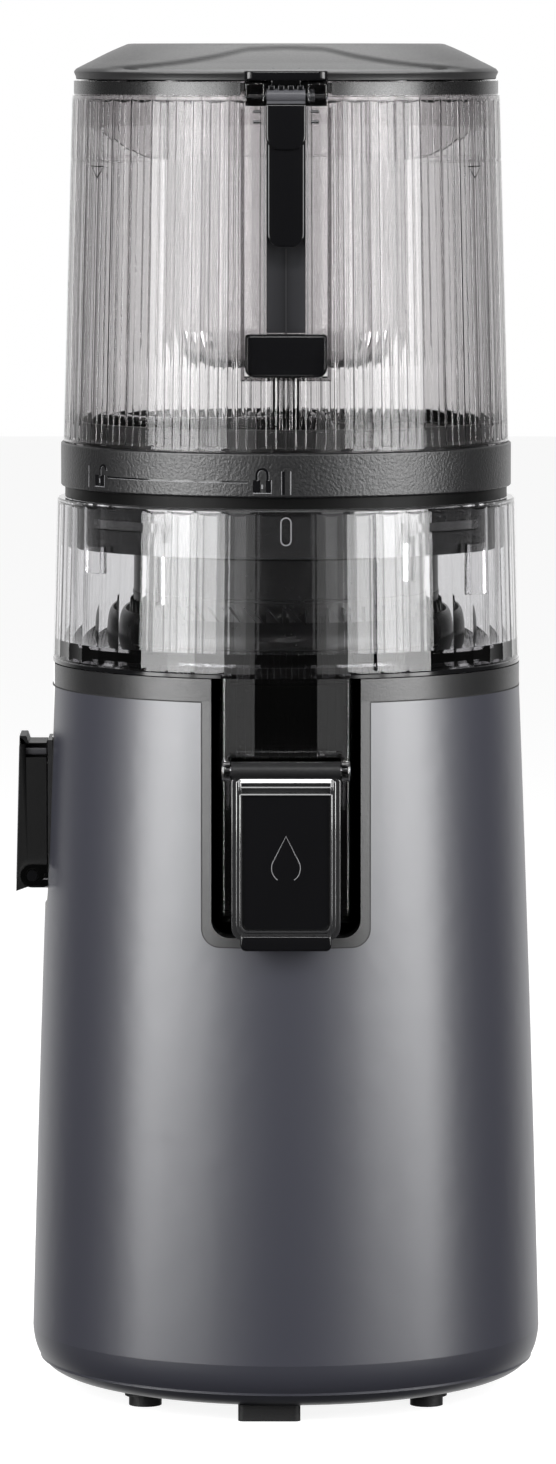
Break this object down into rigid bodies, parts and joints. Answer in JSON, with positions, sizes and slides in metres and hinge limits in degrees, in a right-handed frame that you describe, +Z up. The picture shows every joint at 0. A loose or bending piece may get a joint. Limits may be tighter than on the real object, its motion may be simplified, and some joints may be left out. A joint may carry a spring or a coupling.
{
  "type": "cold press juicer",
  "caption": "Upright slow juicer: motor base, lift-off clear chamber with spout cap and pulp lever, turning screws, twist-on clear hopper with latch and hinged lid.",
  "frame": {"origin": "on the centre line of the body, level with the table under the feet", "axes": "+Z up, -Y to the front with the juice spout, -X to the pulp lever"},
  "size_m": [0.1801, 0.1895, 0.462],
  "materials": {
    "slate_paint": "satin metallic, dark slate blue",
    "slate_plastic": "satin metallic, dark slate blue",
    "black_satin": "satin black with a fine grain",
    "black_gloss": "glossy black",
    "smoke_clear": "smoky clear, glossy",
    "smoke_lid": "dark smoky satin",
    "dark_screw": "satin charcoal",
    "black_rubber": "matt",
    "grey_silicone": "soft satin",
    "steel": "ground and brushed",
    "core_steel": "stacked laminations",
    "copper": "varnished wire",
    "cast_alloy": "as cast",
    "gear_nylon": "natural nylon",
    "board_green": "solder mask"
  },
  "bodies": {
    "base": {"body_shell": "slate_paint", "well_liner": "black_satin", "base_cover": "slate_plastic", "rubber_feet": "black_rubber", "front_foot_block": "black_rubber", "base_screws": "steel", "vibration_mounts": "black_rubber", "motor_bracket": "cast_alloy", "stator_core": "core_steel", "stator_windings": "copper", "motor_bearings": "steel", "motor_bolts": "steel", "gearbox_case": "cast_alloy", "gearbox_cover": "cast_alloy", "cluster_axle": "steel", "output_bearings": "steel", "shaft_seal": "black_rubber", "control_board": "board_green", "motor_capacitor": "black_gloss", "rotary_switch": "black_satin", "cord_gland": "black_rubber", "interlock_sensor": "black_satin"},
    "rotor": {"motor_shaft": "steel", "motor_pinion": "steel", "rotor_core": "core_steel", "cooling_fan": "black_satin"},
    "cluster": {"cluster_gear": "gear_nylon"},
    "output": {"output_gear": "gear_nylon", "drive_shaft": "steel"},
    "chamber": {"juice_chamber": "smoke_clear", "chamber_seal": "grey_silicone", "pulp_port_gasket": "grey_silicone", "juice_cap_pin": "steel", "pulp_lever_pin": "steel"},
    "screws": {"outer_screw": "dark_screw", "inner_screw": "dark_screw", "screw_socket": "steel", "cutting_wing": "black_satin"},
    "cap": {"juice_cap": "black_gloss", "cap_panel": "black_gloss", "cap_seal": "grey_silicone"},
    "pulp_gate": {"pulp_lever": "black_satin", "pulp_plug": "grey_silicone"},
    "hopper": {"hopper_shell": "smoke_clear", "hopper_collar": "black_satin", "bayonet_ring": "black_satin", "hopper_gasket": "black_rubber", "hopper_floor": "black_satin", "feed_bowl": "smoke_clear", "bowl_ring": "smoke_clear", "wing_bush": "black_satin", "latch_bracket": "black_gloss", "latch_block": "black_gloss", "latch_pin": "steel", "latch_spring": "steel", "lid_hinge_pin": "steel"},
    "latch": {"latch_lever": "black_gloss"},
    "lid": {"lid": "smoke_lid", "lid_seal": "grey_silicone"},
    "knob": {"power_knob": "black_satin"}
  },
  "joints": [
    {"name": "rotor_spin", "type": "hinge", "parent": "base", "child": "rotor", "pos_m": [0, 0, 0.06], "axis": [0, 0, 1], "continuous": true},
    {"name": "cluster_spin", "type": "hinge", "parent": "base", "child": "cluster", "pos_m": [0.036, 0, 0.112], "axis": [0, 0, 1], "continuous": true},
    {"name": "output_spin", "type": "hinge", "parent": "base", "child": "output", "pos_m": [0, 0, 0.12], "axis": [0, 0, 1], "continuous": true},
    {"name": "screw_spin", "type": "hinge", "parent": "chamber", "child": "screws", "pos_m": [0, 0, 0.2], "axis": [0, 0, 1], "continuous": true},
    {"name": "chamber_lift", "type": "slide", "parent": "base", "child": "chamber", "axis": [0, 0, 1], "range_m": [0, 0.11]},
    {"name": "hopper_twist", "type": "hinge", "parent": "chamber", "child": "hopper", "pos_m": [0, 0, 0.32], "axis": [0, 0, 1], "range_deg": [0, 60]},
    {"name": "lid_hinge", "type": "hinge", "parent": "hopper", "child": "lid", "pos_m": [0, 0.0765, 0.4475], "axis": [-1, 0, 0], "range_deg": [0, 100]},
    {"name": "latch_press", "type": "hinge", "parent": "hopper", "child": "latch", "pos_m": [0, -0.0713, 0.445], "axis": [1, 0, 0], "range_deg": [0, 8], "stiffness_Nm_per_rad": 0.05, "springref_deg": -8.59},
    {"name": "juice_cap_hinge", "type": "hinge", "parent": "chamber", "child": "cap", "pos_m": [0, -0.088, 0.2214], "axis": [-1, 0, 0], "range_deg": [0, 80]},
    {"name": "pulp_lever_hinge", "type": "hinge", "parent": "chamber", "child": "pulp_gate", "pos_m": [-0.0871, 0, 0.1778], "axis": [0, -1, 0], "range_deg": [0, 90]},
    {"name": "power_knob_turn", "type": "hinge", "parent": "base", "child": "knob", "pos_m": [0, 0.09, 0.072], "axis": [0, 1, 0], "range_deg": [-45, 45]}
  ],
  "couplings": [
    {"joint": "cluster_spin", "follows": "rotor_spin", "ratio": -0.2},
    {"joint": "output_spin", "follows": "rotor_spin", "ratio": 0.05},
    {"joint": "screw_spin", "follows": "rotor_spin", "ratio": 0.05}
  ]
}
